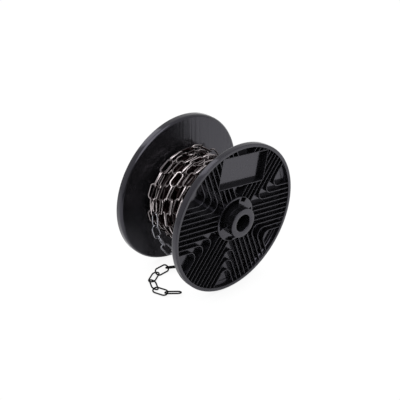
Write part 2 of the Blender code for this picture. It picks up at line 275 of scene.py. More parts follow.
def make_finish(name, scales, colors, roughness, bump, metallic, specular):
    """A material whose colour and roughness follow the cloud, with a bump from the grain.

    Scales are those of cloud and grain. Colours and roughness are (position, colour) stops of a
    ramp. Bump is its strength and its distance.
    """
    material = bpy.data.materials.new(name)
    material.use_nodes = True
    nodes = material.node_tree.nodes
    links = material.node_tree.links
    shader = nodes["Principled BSDF"]
    shader.inputs["Metallic"].default_value = metallic
    shader.inputs["Specular IOR Level"].default_value = specular
    surface = nodes.new("ShaderNodeGroup")
    surface.node_tree = SURFACE_GROUP
    surface.inputs["Cloud Scale"].default_value = scales[0]
    surface.inputs["Grain Scale"].default_value = scales[1]
    color = ramp(nodes, colors)
    rough = ramp(nodes, roughness)
    height = nodes.new("ShaderNodeBump")
    height.inputs["Strength"].default_value = bump[0]
    height.inputs["Distance"].default_value = bump[1]
    links.new(surface.outputs["Cloud"], color.inputs["Fac"])
    links.new(surface.outputs["Cloud"], rough.inputs["Fac"])
    links.new(surface.outputs["Grain"], height.inputs["Height"])
    links.new(color.outputs["Color"], shader.inputs["Base Color"])
    links.new(rough.outputs["Color"], shader.inputs["Roughness"])
    links.new(height.outputs["Normal"], shader.inputs["Normal"])
    return material


# %% [markdown]
# The reel is black polystyrene with a semi-gloss skin. Nearly all that one sees of it is
# reflection, so its roughness matters more than its colour. The chain is steel wire blackened by
# heat and oil. There are three steels, and they are partly lit and shaded copies of that one steel:
# a neutral black one for the links on the floor, which is darker as painted shade, a rubbed grey
# one for the links that hang, which is lighter as painted light, and a brownish black one for the
# winding, whose masks add painted light and shade to its wear.

# %% One plastic and three steels
PLASTIC = make_finish(
    "black_polystyrene",
    scales=(14.0, 900.0),
    colors=[(0.30, (0.0036, 0.0036, 0.0041)), (0.70, (0.0055, 0.0055, 0.0063))],
    roughness=[(0.30, grey(0.12)), (0.70, grey(0.17))],
    bump=(0.05, 0.0001),
    metallic=0.0,
    specular=0.47,
)
PLASTIC_SHADER = PLASTIC.node_tree.nodes["Principled BSDF"]
PLASTIC_SHADER.inputs["IOR"].default_value = 1.51
PLASTIC_SHADER.inputs["Specular Tint"].default_value = (0.86, 0.83, 1.0, 1.0)


def make_steel(name, dark, light, roughness, metallic, specular):
    """Steel wire. Its colour is dark to light by the cloud, and its light places are smoother."""
    return make_finish(
        name,
        scales=(160.0, 2600.0),
        colors=[(0.30, dark), (0.70, light)],
        roughness=[(0.30, grey(roughness[0])), (0.75, grey(roughness[1]))],
        bump=(0.10, 0.0001),
        metallic=metallic,
        specular=specular,
    )


# Painted shade and painted light: the links on the floor get a near-black steel and the hanging
# links a lighter grey metal, as shaded and lit copies of the same chain.
FLOOR_STEEL_SHADED = make_steel(
    "blackened_steel", dark=(0.0045, 0.0045, 0.0050), light=(0.0090, 0.0090, 0.0097),
    roughness=(0.52, 0.40), metallic=0.0, specular=0.07)
WORN_AND_SHADED_STEEL = make_steel(
    "worn_steel_painted_shade", dark=(0.0065, 0.0026, 0.0028), light=(0.0120, 0.0052, 0.0056),
    roughness=(0.52, 0.40), metallic=0.0, specular=0.07)
HANGING_STEEL_LIT = make_steel(
    "hanging_steel_painted_light", dark=(0.24, 0.24, 0.265), light=(0.30, 0.30, 0.33),
    roughness=(0.27, 0.20), metallic=1.0, specular=0.5)
print("finishes:", [finish.name for finish in (PLASTIC, FLOOR_STEEL_SHADED, WORN_AND_SHADED_STEEL, HANGING_STEEL_LIT)])

# %% [markdown]
# The winding has rubbed on itself and on hands, so on its outside the black has worn off the crest
# of the wire and bare steel shines there, while the flanks and the links below stay a brownish
# black. This is only partly wear. The bright bare crests are also a painted highlight, and the dark
# flanks and inner layers are also painted shade, where the winding shades itself. Two masks say
# where: the distance from the reel's axis, and how squarely the surface faces away from that axis.
# Worn places are metal, and smoother than the black.

# %% Wear, painted highlight and painted shade on the winding
# Bare steel on the outer crests is partly wear and partly a painted highlight. Inside the first
# radius everything stays dark, as painted shade.
BARE_LIT_STEEL = (0.43, 0.389, 0.398)
BARE_ROUGHNESS = 0.22
LIT_WEAR_STARTS = 0.0515
LIT_WEAR_FULL = 0.0570
LIT_CREST_STARTS = 0.32
LIT_CREST_FULL = 0.88


def mix_node(tree, kind, share, first, second):
    """A Mix node from a socket to a plain value. The share is a socket too."""
    made = tree.nodes.new("ShaderNodeMix")
    made.data_type = kind
    picked = [socket for socket in made.inputs if socket.enabled and socket.name in ("A", "B")]
    tree.links.new(share, made.inputs["Factor"])
    tree.links.new(first, picked[0])
    picked[1].default_value = second
    return [socket for socket in made.outputs if socket.enabled][0]


def vector_math(tree, operation, first, second=None):
    """As math_node, for vectors. Its first operand is always a socket."""
    made = tree.nodes.new("ShaderNodeVectorMath")
    made.operation = operation
    tree.links.new(first, made.inputs[0])
    if isinstance(second, bpy.types.NodeSocket):
        tree.links.new(second, made.inputs[1])
    elif second is not None:
        made.inputs[1].default_value = second
    return [socket for socket in made.outputs if socket.enabled][0]


def from_axis(tree):
    """The vector from the nearest point of the reel's axis to the place on the surface."""
    place = tree.nodes.new("ShaderNodeTexCoord")
    centered = vector_math(tree, "SUBTRACT", place.outputs["Object"], (0.0, 0.0, AXIS_HEIGHT))
    return vector_math(tree, "MULTIPLY", centered, (0.0, 1.0, 1.0))


# Paints light and shade along with the wear: bright bare metal on the outer crests, dark flanks and
# dark inner layers.
def add_wear_and_painted_shade(material):
    tree = material.node_tree
    shader = tree.nodes["Principled BSDF"]
    outward = from_axis(tree)
    radius = vector_math(tree, "LENGTH", outward)
    away = vector_math(tree, "NORMALIZE", outward)
    surface = tree.nodes.new("ShaderNodeNewGeometry")
    facing = vector_math(tree, "DOT_PRODUCT", away, surface.outputs["Normal"])
    lit_outside = smooth_range(tree, radius, LIT_WEAR_STARTS, LIT_WEAR_FULL, 0.0, 1.0)
    lit_crest = smooth_range(tree, facing, LIT_CREST_STARTS, LIT_CREST_FULL, 0.0, 1.0)
    worn_and_lit = math_node(tree, "MULTIPLY", lit_outside, lit_crest)
    color = shader.inputs["Base Color"]
    rough = shader.inputs["Roughness"]
    black = color.links[0].from_socket
    dull = rough.links[0].from_socket
    tree.links.new(mix_node(tree, "RGBA", worn_and_lit, black, (*BARE_LIT_STEEL, 1.0)), color)
    tree.links.new(mix_node(tree, "FLOAT", worn_and_lit, dull, BARE_ROUGHNESS), rough)
    tree.links.new(worn_and_lit, shader.inputs["Metallic"])


add_wear_and_painted_shade(WORN_AND_SHADED_STEEL)

# %% [markdown]
# The chain has also rubbed the inner faces of the flanges dull, in long faint scuffs that run up
# and down. They blur what the faces reflect, so they show most where a reflection ends. They fade
# out where the rounded edge turns away from the face.

# %% Scuffs on the inner faces
SCUFF_ROUGHNESS = 0.10
SCUFF_SCALE = (0.0, 230.0, 6.0)
SCUFF_DETAIL = 3.0
SCUFF_HEIGHT = 0.0005
SCUFF_STRENGTH = 0.5
SCUFF_FADES = INNER_FACE + 0.0003
SCUFF_ENDS = INNER_FACE + 0.0015
MEAN_STREAK = 0.5


def add_scuffs(material):
    tree = material.node_tree
    shader = tree.nodes["Principled BSDF"]
    place = tree.nodes.new("ShaderNodeTexCoord")
    split = tree.nodes.new("ShaderNodeSeparateXYZ")
    tree.links.new(place.outputs["Object"], split.inputs["Vector"])
    off_middle = math_node(tree, "ABSOLUTE", split.outputs["X"])
    inner = smooth_range(tree, off_middle, SCUFF_FADES, SCUFF_ENDS, 1.0, 0.0)
    stretch = tree.nodes.new("ShaderNodeMapping")
    stretch.inputs["Scale"].default_value = SCUFF_SCALE
    tree.links.new(place.outputs["Object"], stretch.inputs["Vector"])
    noise = tree.nodes.new("ShaderNodeTexNoise")
    noise.inputs["Scale"].default_value = 1.0
    noise.inputs["Detail"].default_value = SCUFF_DETAIL
    tree.links.new(stretch.outputs["Vector"], noise.inputs["Vector"])
    streaks = math_node(tree, "MULTIPLY", noise.outputs["Fac"], inner)
    rough = shader.inputs["Roughness"]
    both = math_node(tree, "ADD", streaks, inner)
    dull = math_node(tree, "MULTIPLY", both, SCUFF_ROUGHNESS / (1 + MEAN_STREAK))
    tree.links.new(math_node(tree, "ADD", rough.links[0].from_socket, dull), rough)
    height = tree.nodes.new("ShaderNodeBump")
    height.inputs["Strength"].default_value = SCUFF_STRENGTH
    height.inputs["Distance"].default_value = SCUFF_HEIGHT
    tree.links.new(streaks, height.inputs["Height"])
    grain = shader.inputs["Normal"].links[0].from_socket
    tree.links.new(grain, height.inputs["Normal"])
    tree.links.new(height.outputs["Normal"], shader.inputs["Normal"])


add_scuffs(PLASTIC)

# %% [markdown]
# ## The flanges
#
# A flange is one moulding: a shallow dish that opens outwards, with a big rounded edge on the side
# of the chain and a narrow flat land at the rim. Round its bore stands a collar with two deep
# recesses and two short slots. The dish is a turned profile, and the recesses are cut from it.

# %% Profile of the dish
LAND_ROUND = 0.0004
LAND_STEPS = 4
INNER_LAND_STEPS = 3
EDGE_STEPS = 12
FLOOR_STEPS = 10
FLANGE_SEGMENTS = 180


def dish_profile():
    """Up the outside from the land, round the chain's side, out of the bore and up the inside."""
    edge = (REEL_RADIUS - EDGE_ROUND, -RIM_STRAIGHT)
    wall = (REEL_RADIUS - RIM_LAND - INNER_ROUND, -INNER_WALL)
    land_outer = (REEL_RADIUS - LAND_ROUND, -LAND_ROUND)
    land_inner = (REEL_RADIUS - RIM_LAND + LAND_ROUND, -LAND_ROUND)
    collar_edge = (COLLAR_RADIUS - LAND_ROUND, -LAND_ROUND)
    profile = arc(land_outer, LAND_ROUND, QUARTER_TURN, 0.0, LAND_STEPS)
    profile += arc(edge, EDGE_ROUND, 0.0, -QUARTER_TURN, EDGE_STEPS)
    profile.append(Vector((TUBE_RADIUS + TUBE_FIT, -FLANGE_DEPTH)))
    profile.append(Vector((TUBE_RADIUS + TUBE_FIT, 0.0)))
    profile += arc(collar_edge, LAND_ROUND, QUARTER_TURN, 0.0, INNER_LAND_STEPS)
    profile.append(Vector((COLLAR_RADIUS, -WEB_DEPTH)))
    profile += arc(wall, INNER_ROUND, -QUARTER_TURN, 0.0, FLOOR_STEPS)
    profile += arc(land_inner, LAND_ROUND, 2 * QUARTER_TURN, QUARTER_TURN, INNER_LAND_STEPS)
    return profile


# %% [markdown]
# The recesses and slots follow the direction of the label's place, so their angles are counted
# from it. The label's place lies between two of the six bundles of ribs. Each cutter is a flat
# outline of part of a ring, raised through the face of the collar.

# %% Cutters for the collar
BUNDLES = 6
FIRST_BUNDLE = math.radians(-11.7)
HALF_BUNDLE = math.pi / BUNDLES
LABEL_ANGLE = FIRST_BUNDLE + 3 * HALF_BUNDLE
RECESS_START = math.radians(-3.0)
RECESS_SWEEP = math.radians(118.0)
RECESS_DEPTH = 0.006
SLOT_START = math.radians(-28.0)
SLOT_SWEEPS = (math.radians(19.0), math.radians(30.0))
SLOT_INNER = 0.0235
SLOT_OUTER = COLLAR_RADIUS - COLLAR_WALL / 4
SLOT_DEPTH = 0.004
ARC_STEP = math.radians(3.0)


def ring_sector(name, start, sweep, inner, outer, depth):
    """A block over part of a ring, as far above the face of the collar as below it."""
    steps = max(3, round(sweep / ARC_STEP))
    outline = arc((0, 0), outer, start, start + sweep, steps)
    outline += arc((0, 0), inner, start + sweep, start, steps)
    mesh = bpy.data.meshes.new(name)
    builder = bmesh.new()
    face = builder.faces.new([builder.verts.new((p.x, p.y, -depth)) for p in outline])
    raised = bmesh.ops.extrude_face_region(builder, geom=[face])["geom"]
    tops = [item for item in raised if isinstance(item, bmesh.types.BMVert)]
    bmesh.ops.translate(builder, verts=tops, vec=(0, 0, 2 * depth))
    bmesh.ops.recalc_face_normals(builder, faces=builder.faces)
    builder.to_mesh(mesh)
    builder.free()
    return add_object(name, mesh)


def make_dish():
    dish = add_object("dish", turned("dish", dish_profile(), FLANGE_SEGMENTS))
    cutters = []
    for half, slot_sweep in zip((0.0, math.pi), SLOT_SWEEPS):
        start = LABEL_ANGLE + half
        recess = (TUBE_RADIUS - COLLAR_WALL, COLLAR_RADIUS - COLLAR_WALL, RECESS_DEPTH)
        slot = (SLOT_INNER, SLOT_OUTER, SLOT_DEPTH)
        cutters.append(ring_sector("recess", start + RECESS_START, RECESS_SWEEP, *recess))
        cutters.append(ring_sector("slot", start + SLOT_START, slot_sweep, *slot))
    for cutter in cutters:
        cut = dish.modifiers.new("cut", "BOOLEAN")
        cut.operation = "DIFFERENCE"
        cut.solver = "EXACT"
        cut.object = cutter
    mesh = evaluated_mesh(dish, "dish")
    for cutter in cutters:
        bpy.data.objects.remove(cutter)
    return mesh


DISH = make_dish()
print("dish:", len(DISH.polygons), "faces")

# %% [markdown]
# ## Rib paths
#
# Inside the dish, ribs run in six bundles of ten, all parallel within a bundle. The four in the
# middle run straight in to the collar. The three on each side stop short of it: they turn through
# a rounded bend and run out again as the side ribs of the next bundle. All of them stop at the
# walls of the label's rectangular place.

# %% Lay out the ribs in plan
RIB_PITCH = 0.0070
STRAIGHT_RIBS = (-1.5, -0.5, 0.5, 1.5)
BENT_RIBS = (2.5, 3.5, 4.5)
BEND_RADIUS = 0.0095
BEND_STEPS = 12
RIB_BITE = 0.0008
RIB_REACH = REEL_RADIUS - RIM_LAND + RIB_BITE
LABEL_HALF_WIDTH = 0.0385
LABEL_INNER = 0.0460
LABEL_OUTER = 0.0860
LABEL_WALL = 0.0014
PLAN_STEP = 0.0012


def line_points(start, end):
    count = max(1, math.ceil((end - start).length / PLAN_STEP))
    return [start.lerp(end, i / count) for i in range(count + 1)]


def straight_rib(bundle_angle, offset):
    shift = polar(offset, bundle_angle + QUARTER_TURN)
    start = shift + polar(COLLAR_RADIUS - COLLAR_WALL / 2, bundle_angle)
    return line_points(start, shift + polar(REEL_RADIUS, bundle_angle))


def bent_rib(middle, offset):
    """From the rim in along one bundle, round the bend, and out along the next."""
    corner = polar(offset / math.sin(HALF_BUNDLE), middle)
    center = corner + polar(BEND_RADIUS / math.sin(HALF_BUNDLE), middle)
    first = middle - HALF_BUNDLE - QUARTER_TURN
    last = middle + HALF_BUNDLE - 3 * QUARTER_TURN
    bend = arc(center, BEND_RADIUS, first, last, BEND_STEPS)
    far_start = corner + polar(REEL_RADIUS, middle - HALF_BUNDLE)
    far_end = corner + polar(REEL_RADIUS, middle + HALF_BUNDLE)
    return line_points(far_start, bend[0])[:-1] + bend + line_points(bend[-1], far_end)[1:]


def keeps_rib(point):
    """True inside the rim and outside the middle lines of the label's walls."""
    out, across = Matrix.Rotation(-LABEL_ANGLE, 2) @ point
    half_wall = LABEL_WALL / 2
    in_label = (
        abs(across) < LABEL_HALF_WIDTH + half_wall
        and LABEL_INNER - half_wall < out < LABEL_OUTER + half_wall
    )
    return point.length < RIB_REACH and not in_label


def kept_runs(points):
    """The stretches of a line that are kept, each of three points or more."""
    runs = []
    run = []
    for point in points + [None]:
        if point is not None and keeps_rib(point):
            run.append(point)
            continue
        if len(run) > 2:
            runs.append(run)
        run = []
    return runs


def rib_runs():
    runs = []
    for bundle in range(BUNDLES):
        along = FIRST_BUNDLE + 2 * HALF_BUNDLE * bundle
        for step in STRAIGHT_RIBS:
            runs += kept_runs(straight_rib(along, step * RIB_PITCH))
        for step in BENT_RIBS:
            runs += kept_runs(bent_rib(along + HALF_BUNDLE, step * RIB_PITCH))
    return runs


def label_run():
    half = LABEL_HALF_WIDTH + LABEL_WALL / 2
    near = LABEL_INNER - LABEL_WALL / 2
    far = LABEL_OUTER + LABEL_WALL / 2
    turn = Matrix.Rotation(LABEL_ANGLE, 2)
    corners = [turn @ Vector(c) for c in ((near, -half), (near, half), (far, half), (far, -half))]
    run = []
    for start, end in zip(corners, corners[1:] + corners[:1]):
        run += line_points(start, end)[:-1]
    return run


def plan_mesh(runs, closed_runs):
    mesh = bpy.data.meshes.new("rib_plan")
    builder = bmesh.new()
    for run in runs + closed_runs:
        verts = [builder.verts.new((p.x, p.y, 0.0)) for p in run]
        for pair in zip(verts, verts[1:]):
            builder.edges.new(pair)
        if run in closed_runs:
            builder.edges.new((verts[-1], verts[0]))
    builder.to_mesh(mesh)
    builder.free()
    return mesh


RIB_RUNS = rib_runs()
RIB_PLAN = plan_mesh(RIB_RUNS, [label_run()])
print("stretches of rib:", len(RIB_RUNS))

# %% [markdown]
# ## Ribs with Geometry Nodes
#
# Every rib is the same thing, a thin upright wall with a rounded top, led along a line. That is
# what Curve to Mesh does, so a node tree makes them all from the plan: it sweeps a small upright
# section along each line, then moves the points at its foot down to the floor of the dish. The
# floor is flat in the middle and rises in a round at the rim, and the tree works that out from how
# far each point is from the axis.

# %% A small kit for building node trees
def node_tree(name):
    """A new tree with its input and output nodes and a Geometry socket on each."""
    tree = bpy.data.node_groups.new(name, "GeometryNodeTree")
    tree.interface.new_socket(name="Geometry", in_out="INPUT", socket_type="NodeSocketGeometry")
    tree.interface.new_socket(name="Geometry", in_out="OUTPUT", socket_type="NodeSocketGeometry")
    given = tree.nodes.new("NodeGroupInput")
    result = tree.nodes.new("NodeGroupOutput")
    return tree, given, result


def tree_input(tree, name, kind, default):
    made = tree.interface.new_socket(name=name, in_out="INPUT", socket_type=kind)
    made.default_value = default


def run_tree(name, mesh, tree, settings):
    """Apply a tree to a mesh with its inputs set by name, and return the plain mesh it makes."""
    body = add_object(name, mesh)
    modifier = body.modifiers.new("nodes", "NODES")
    modifier.node_group = tree
    for item in tree.interface.items_tree:
        if item.item_type == "SOCKET" and item.in_out == "INPUT" and item.name in settings:
            modifier[item.identifier] = settings[item.name]
    return evaluated_mesh(body, name)


# %% Sweep an upright section along the plan
RIB_THICKNESS = 0.0010
RIB_TOP_ROUND = 0.0004
RIB_TOP_HEIGHT = -0.0005
RIB_SINK = 0.0004
SECTION_HEIGHT = 0.01
SECTION_CORNER_POINTS = 3


def swept_ribs(tree, given):
    links = tree.links
    curves = tree.nodes.new("GeometryNodeMeshToCurve")
    links.new(given.outputs["Geometry"], curves.inputs["Mesh"])
    upright = tree.nodes.new("GeometryNodeSetCurveNormal")
    upright.mode = "Z_UP"
    links.new(curves.outputs["Curve"], upright.inputs["Curve"])

    section = tree.nodes.new("GeometryNodeCurvePrimitiveQuadrilateral")
    links.new(given.outputs["Thickness"], section.inputs["Width"])
    section.inputs["Height"].default_value = SECTION_HEIGHT
    rounded = tree.nodes.new("GeometryNodeFilletCurve")
    rounded.mode = "POLY"
    rounded.inputs["Count"].default_value = SECTION_CORNER_POINTS
    links.new(section.outputs["Curve"], rounded.inputs["Curve"])
    links.new(given.outputs["Top Round"], rounded.inputs["Radius"])

    sweep = tree.nodes.new("GeometryNodeCurveToMesh")
    sweep.inputs["Fill Caps"].default_value = True
    links.new(upright.outputs["Curve"], sweep.inputs["Curve"])
    links.new(rounded.outputs["Curve"], sweep.inputs["Profile Curve"])
    return sweep.outputs["Mesh"]


# %% Bring the ribs' feet down to the floor of the dish
def fitted_place(tree, given):
    """The place of each point, with its height set by which end of the section it is at."""
    def calc(operation, first, second=None):
        return math_node(tree, operation, first, second)

    place = tree.nodes.new("GeometryNodeInputPosition")
    split = tree.nodes.new("ShaderNodeSeparateXYZ")
    tree.links.new(place.outputs["Position"], split.inputs["Vector"])
    x, y, z = split.outputs
    wall_depth = given.outputs["Wall Depth"]
    radius = calc("SQRT", calc("ADD", calc("MULTIPLY", x, x), calc("MULTIPLY", y, y)))
    beyond = calc("MAXIMUM", calc("SUBTRACT", radius, given.outputs["Round Starts"]), 0.0)
    reach = calc("SUBTRACT", given.outputs["Floor Depth"], wall_depth)
    left = calc("SUBTRACT", calc("MULTIPLY", reach, reach), calc("MULTIPLY", beyond, beyond))
    drop = calc("SQRT", calc("MAXIMUM", left, 0.0))
    depth = calc("ADD", calc("ADD", drop, wall_depth), given.outputs["Sink"])
    foot = calc("MULTIPLY", depth, -1.0)
    top = calc("ADD", calc("SUBTRACT", z, SECTION_HEIGHT / 2), given.outputs["Top Height"])
    height = tree.nodes.new("GeometryNodeSwitch")
    height.input_type = "FLOAT"
    tree.links.new(calc("LESS_THAN", z, 0.0), height.inputs["Switch"])
    tree.links.new(top, height.inputs["False"])
    tree.links.new(foot, height.inputs["True"])
    joined = tree.nodes.new("ShaderNodeCombineXYZ")
    tree.links.new(x, joined.inputs["X"])
    tree.links.new(y, joined.inputs["Y"])
    tree.links.new(height.outputs["Output"], joined.inputs["Z"])
    return joined.outputs["Vector"]


# %% The tree that raises the ribs
def paint_and_end(tree, given, result, geometry):
    painted = tree.nodes.new("GeometryNodeSetMaterial")
    tree.links.new(geometry, painted.inputs["Geometry"])
    tree.links.new(given.outputs["Material"], painted.inputs["Material"])
    tree.links.new(painted.outputs["Geometry"], result.inputs["Geometry"])


def make_rib_tree():
    tree, given, result = node_tree("ribs_on_plan")
    tree_input(tree, "Thickness", "NodeSocketFloat", RIB_THICKNESS)
    tree_input(tree, "Top Round", "NodeSocketFloat", RIB_TOP_ROUND)
    tree_input(tree, "Top Height", "NodeSocketFloat", RIB_TOP_HEIGHT)
    tree_input(tree, "Floor Depth", "NodeSocketFloat", WEB_DEPTH)
    tree_input(tree, "Wall Depth", "NodeSocketFloat", INNER_WALL)
    tree_input(tree, "Round Starts", "NodeSocketFloat", REEL_RADIUS - RIM_LAND - INNER_ROUND)
    tree_input(tree, "Sink", "NodeSocketFloat", RIB_SINK)
    tree_input(tree, "Material", "NodeSocketMaterial", None)
    moved = tree.nodes.new("GeometryNodeSetPosition")
    tree.links.new(swept_ribs(tree, given), moved.inputs["Geometry"])
    tree.links.new(fitted_place(tree, given), moved.inputs["Position"])
    paint_and_end(tree, given, result, moved.outputs["Geometry"])
    return tree


RIBS = run_tree("ribs", RIB_PLAN, make_rib_tree(), {"Material": PLASTIC})
print("ribs:", len(RIBS.polygons), "faces")

# %% Join dish and ribs, and stand one at each end
def make_flange(name, outward, node):
    builder = bmesh.new()
    builder.from_mesh(DISH)
    builder.from_mesh(RIBS)
    mesh = bpy.data.meshes.new(name)
    builder.to_mesh(mesh)
    builder.free()
    mesh.transform(stand(outward) @ Matrix.Translation((0, 0, HALF_WIDTH)))
    smooth(mesh)
    mesh.materials.clear()
    mesh.materials.append(PLASTIC)
    place_piece(add_object(name, mesh), "reel_plastic", node)


make_flange("front_flange", 1.0, "flange_front")
make_flange("back_flange", -1.0, "flange_back")

# %% [markdown]
# ## Hub tube and drum
#
# The tube runs right through the reel and stands out at both ends, where it turns on a rod. The
# drum sits on it between the flanges. Both are turned, with their edges slightly rounded, as a
# moulding's are.

# %% Hub tube and drum
TUBE_SEGMENTS = 120
TUBE_ROUND = 0.0005
TUBE_ROUND_STEPS = 4
BORE_ROUND = 0.0008
DRUM_RADIUS = 0.0300


def tube_profile(inner, outer, half_length, inner_round, outer_round):
    """Four rounded corners: outer top, outer bottom, inner bottom, inner top."""
    corners = (
        (outer - outer_round, half_length - outer_round, outer_round, 1),
        (outer - outer_round, outer_round - half_length, outer_round, 0),
        (inner + inner_round, inner_round - half_length, inner_round, -1),
        (inner + inner_round, half_length - inner_round, inner_round, 2),
    )
    profile = []
    for x, y, radius, quarters in corners:
        start = quarters * QUARTER_TURN
        profile += arc((x, y), radius, start, start - QUARTER_TURN, TUBE_ROUND_STEPS)
    return profile


def make_tube(name, node, inner, outer, half_length, inner_round):
    profile = tube_profile(inner, outer, half_length, inner_round, TUBE_ROUND)
    mesh = turned(name, profile, TUBE_SEGMENTS)
    mesh.transform(stand(1.0))
    smooth(mesh)
    mesh.materials.append(PLASTIC)
    place_piece(add_object(name, mesh), "reel_plastic", node)


DRUM_BORE = TUBE_RADIUS + TUBE_FIT
DRUM_END = INNER_FACE - TUBE_FIT
make_tube("hub", "hub_tube", BORE_RADIUS, TUBE_RADIUS, TUBE_END, BORE_ROUND)
make_tube("winding_drum", "drum", DRUM_BORE, DRUM_RADIUS, DRUM_END, TUBE_ROUND)

# %% [markdown]
# ## Links with Geometry Nodes
#
# A link is round wire bent to a long oval. The tree below starts from a circle, pulls its two
# halves apart, and sweeps a round section along it. It puts one such link on every point that it
# is given. Each point carries two directions, one along the link and one square to its face, and
# two Align Rotation to Vector nodes turn the link to them.

# %% The tree that sets links on points
LOOSE_LINK_DETAIL = (36, 12)
WOUND_LINK_DETAIL = (14, 6)
WIRE_SHARP_ANGLE = 60.0


def named_vector(tree, name):
    made = tree.nodes.new("GeometryNodeInputNamedAttribute")
    made.data_type = "FLOAT_VECTOR"
    made.inputs["Name"].default_value = name
    return made.outputs["Attribute"]


def align_node(tree, axis, pivot, vector, rotation=None):
    """Turns an axis of the link to a vector, about the pivot axis, on top of a rotation."""
    made = tree.nodes.new("FunctionNodeAlignRotationToVector")
    made.axis = axis
    made.pivot_axis = pivot
    tree.links.new(vector, made.inputs["Vector"])
    if rotation is not None:
        tree.links.new(rotation, made.inputs["Rotation"])
    return made.outputs["Rotation"]


def link_path(tree, given):
    """The oval middle line of a link: a circle whose two halves are pulled apart."""
    links = tree.links
    circle = tree.nodes.new("GeometryNodeCurvePrimitiveCircle")
    links.new(given.outputs["Path Points"], circle.inputs["Resolution"])
    links.new(given.outputs["End Radius"], circle.inputs["Radius"])
    half_step = math_node(tree, "DIVIDE", math.pi, given.outputs["Path Points"])
    turn = tree.nodes.new("ShaderNodeCombineXYZ")
    links.new(half_step, turn.inputs["Z"])
    turned_circle = tree.nodes.new("GeometryNodeTransform")
    links.new(circle.outputs["Curve"], turned_circle.inputs["Geometry"])
    links.new(turn.outputs["Vector"], turned_circle.inputs["Rotation"])

    place = tree.nodes.new("GeometryNodeInputPosition")
    split = tree.nodes.new("ShaderNodeSeparateXYZ")
    links.new(place.outputs["Position"], split.inputs["Vector"])
    side = math_node(tree, "SIGN", split.outputs["X"])
    pull = tree.nodes.new("ShaderNodeCombineXYZ")
    links.new(math_node(tree, "MULTIPLY", side, given.outputs["Half Straight"]), pull.inputs["X"])
    oval = tree.nodes.new("GeometryNodeSetPosition")
    links.new(turned_circle.outputs["Geometry"], oval.inputs["Geometry"])
    links.new(pull.outputs["Vector"], oval.inputs["Offset"])
    return oval.outputs["Geometry"]


def make_link_tree():
    tree, given, result = node_tree("links_on_points")
    tree_input(tree, "End Radius", "NodeSocketFloat", LINK_END_RADIUS)
    tree_input(tree, "Half Straight", "NodeSocketFloat", LINK_ARC_OFFSET)
    tree_input(tree, "Wire Radius", "NodeSocketFloat", WIRE_RADIUS)
    tree_input(tree, "Path Points", "NodeSocketInt", WOUND_LINK_DETAIL[0])
    tree_input(tree, "Wire Sides", "NodeSocketInt", WOUND_LINK_DETAIL[1])
    tree_input(tree, "Material", "NodeSocketMaterial", None)
    links = tree.links
    section = tree.nodes.new("GeometryNodeCurvePrimitiveCircle")
    links.new(given.outputs["Wire Sides"], section.inputs["Resolution"])
    links.new(given.outputs["Wire Radius"], section.inputs["Radius"])
    wire = tree.nodes.new("GeometryNodeCurveToMesh")
    links.new(link_path(tree, given), wire.inputs["Curve"])
    links.new(section.outputs["Curve"], wire.inputs["Profile Curve"])

    lengthwise = align_node(tree, "X", "AUTO", named_vector(tree, "along"))
    facing = align_node(tree, "Z", "X", named_vector(tree, "face"), lengthwise)
    spread = tree.nodes.new("GeometryNodeInstanceOnPoints")
    links.new(given.outputs["Geometry"], spread.inputs["Points"])
    links.new(wire.outputs["Mesh"], spread.inputs["Instance"])
    links.new(facing, spread.inputs["Rotation"])
    solid = tree.nodes.new("GeometryNodeRealizeInstances")
    links.new(spread.outputs["Instances"], solid.inputs["Geometry"])
    paint_and_end(tree, given, result, solid.outputs["Geometry"])
    return tree


LINK_TREE = make_link_tree()
print("nodes in the link tree:", len(LINK_TREE.nodes))


# %% Links from a layout
def links_mesh(name, rows, detail, steel):
    """Rows are (middle, along, face) for each link. Detail is its points along and sides round."""
    mesh = bpy.data.meshes.new(name)
    mesh.from_pydata([tuple(row[0]) for row in rows], [], [])
    for column, title in ((1, "along"), (2, "face")):
        attribute = mesh.attributes.new(title, "FLOAT_VECTOR", "POINT")
        for item, row in zip(attribute.data, rows):
            item.vector = row[column]
    settings = {"Path Points": detail[0], "Wire Sides": detail[1], "Material": steel}
    made = run_tree(name, mesh, LINK_TREE, settings)
    smooth(made, WIRE_SHARP_ANGLE)
    return made


# %% [markdown]
# ## The wound chain
#
# The chain is wound in layers. Hooked links stand square to each other, and on the drum they settle
# so that one leans to the left and the next to the right. A turn runs straight round the drum and
# steps over to the next one on the far side. Each layer sits in the valleys of the layer below it.
# The chain also twists slowly as it goes, so in some places the links lie flat and on edge by
# turns, and the outer turns are loose enough to sag a little on the under side. No two links on a
# real reel lie quite alike, so each gets a small turn and shift of its own, from a fixed seed.
# Travel is counted in turns of chain from the start of a layer.

# %% Lay out the layers
LAYERS = [
    # radius, turns, links in a turn, first link
    (0.0548, 10, 18.8, 0.8),
    (0.0484, 9, 16.6, 0.0),
    (0.0420, 10, 14.4, 0.0),
    (0.0356, 9, 12.2, 0.0),
]
TURN_PITCH = 2 * DRUM_END / LAYERS[0][1]
START_ANGLE = math.radians(176.7)
STEP_OVER_START = 0.45
STEP_OVER_LENGTH = 0.25
SLOPE_REACH = 0.02
LEAN = math.radians(43.0)
TWIST = math.radians(32.0)
TWIST_RATE = 2.3
WAVE_HEIGHT = 0.0006
WAVE_PHASE = 0.6
SHIFT_SPREAD = 0.0005
LIFT_SPREAD = 0.0006
ROLL_SPREAD = math.radians(14.0)
YAW_SPREAD = math.radians(4.0)
PROUD_SHARE = 0.14
PROUD_LIFT = 0.0026
PROUD_LEAST = 0.3
SAG = 0.0062
SAG_ANGLE = math.radians(240.0)
SAG_SPREAD = math.radians(52.0)
SAG_STARTS = -0.038
SAG_GROWTH = 0.030
WINDING_SEED = 11


def smooth_step(value):
    value = min(1.0, max(0.0, value))
    return value * value * (3 - 2 * value)


